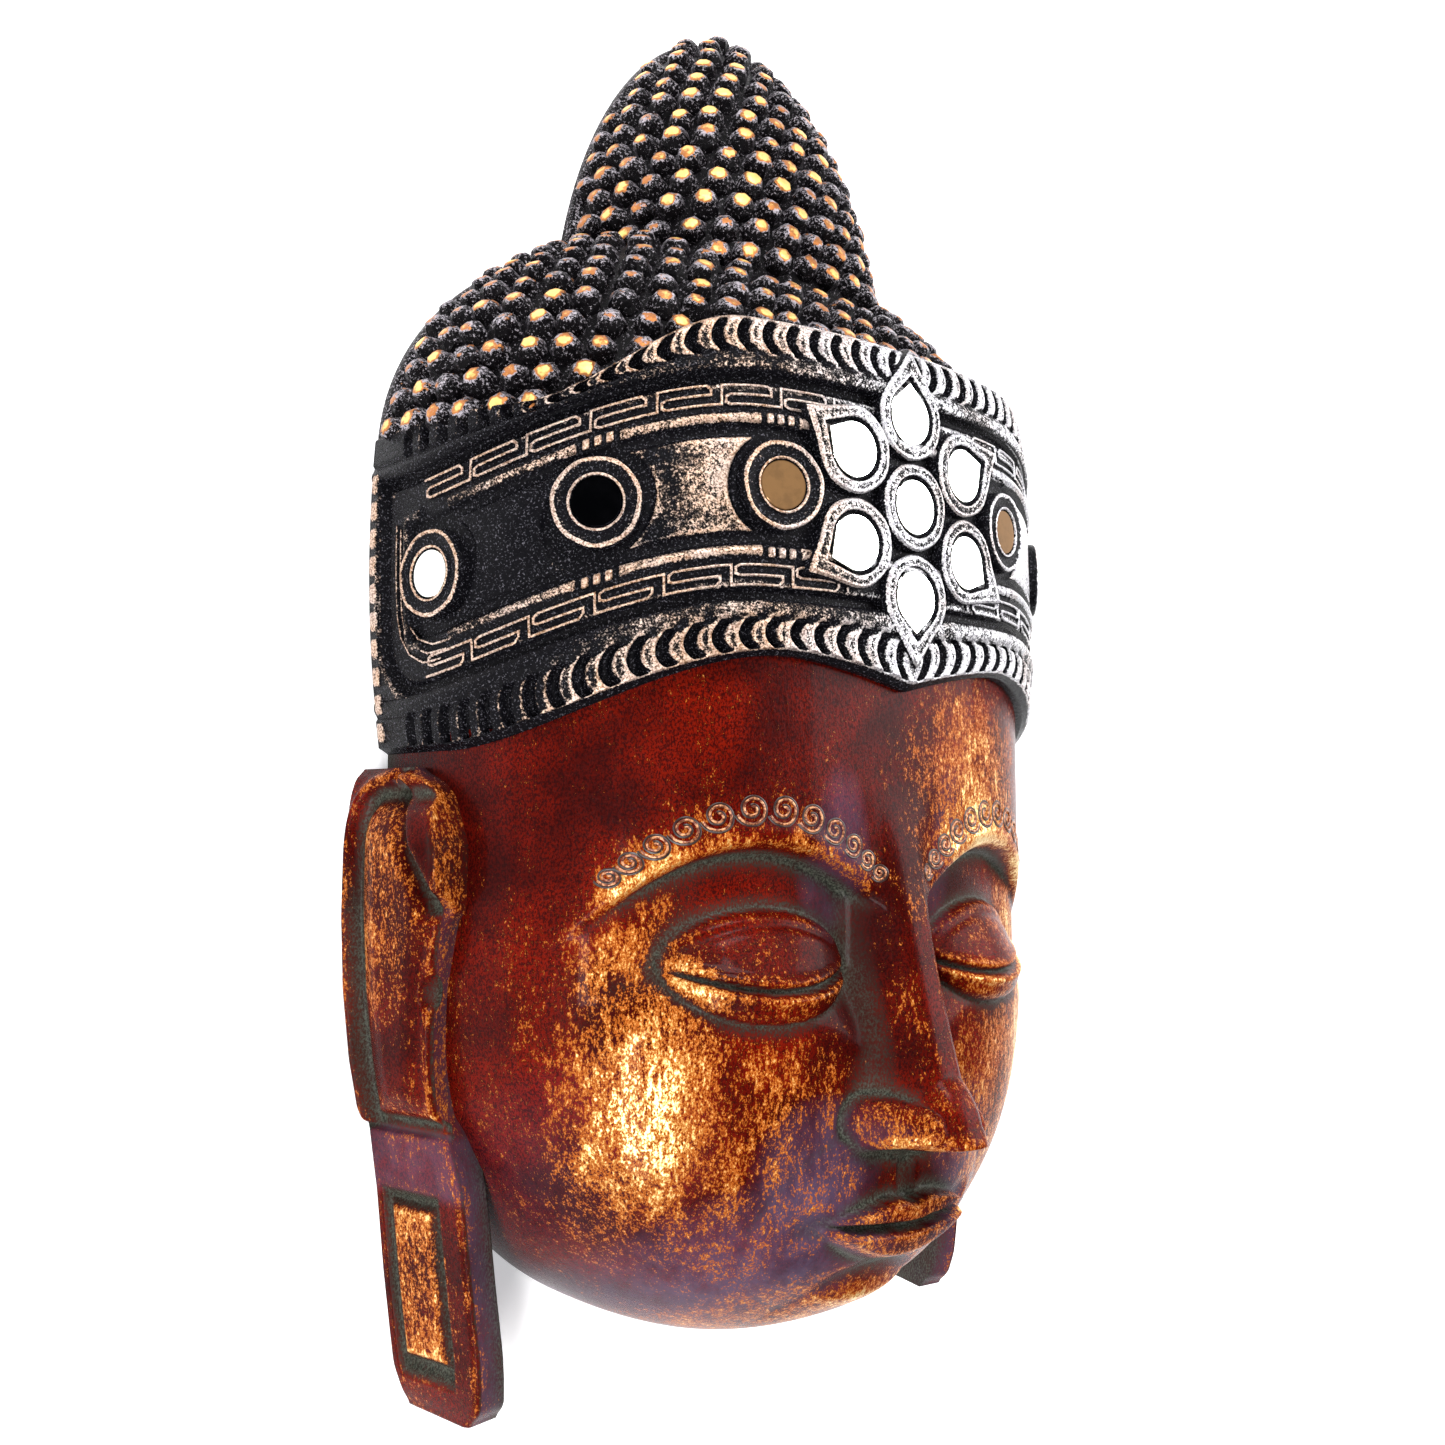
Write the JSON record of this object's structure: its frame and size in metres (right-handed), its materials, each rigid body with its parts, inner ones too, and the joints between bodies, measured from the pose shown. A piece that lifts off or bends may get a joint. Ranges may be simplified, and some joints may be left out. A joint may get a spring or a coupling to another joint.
{
  "type": "buddha mask",
  "caption": "Carved and lacquered wooden head-shaped wall mask of a Buddha, with a knobbed hair knot, long ear lobes and a wide crown band inlaid with small round and petal-shaped mirrors.",
  "frame": {"origin": "in the flat back plane, in the middle of the mask's outline", "axes": "+X to the right seen from the front, +Y towards the top of the hair knot, +Z out of the face, so that the mask lies on its back"},
  "size_m": [0.2856, 0.5, 0.1418],
  "materials": {
    "lacquered_wood": "dark red-brown lacquer rubbed with gold on the face, black and rubbed silver on the band, black with bronze tips on the hair",
    "mirror_glass": "clean flat mirror"
  },
  "bodies": {
    "root": {"mask": "lacquered_wood", "mirror_flower_centre": "mirror_glass", "mirror_petal_top": "mirror_glass", "mirror_petal_upper_left": "mirror_glass", "mirror_petal_lower_left": "mirror_glass", "mirror_petal_bottom": "mirror_glass", "mirror_petal_lower_right": "mirror_glass", "mirror_petal_upper_right": "mirror_glass", "mirror_round_left_1": "mirror_glass", "mirror_round_left_2": "mirror_glass", "mirror_round_left_3": "mirror_glass", "mirror_round_right_1": "mirror_glass", "mirror_round_right_2": "mirror_glass", "mirror_round_right_3": "mirror_glass"}
  },
  "joints": []
}
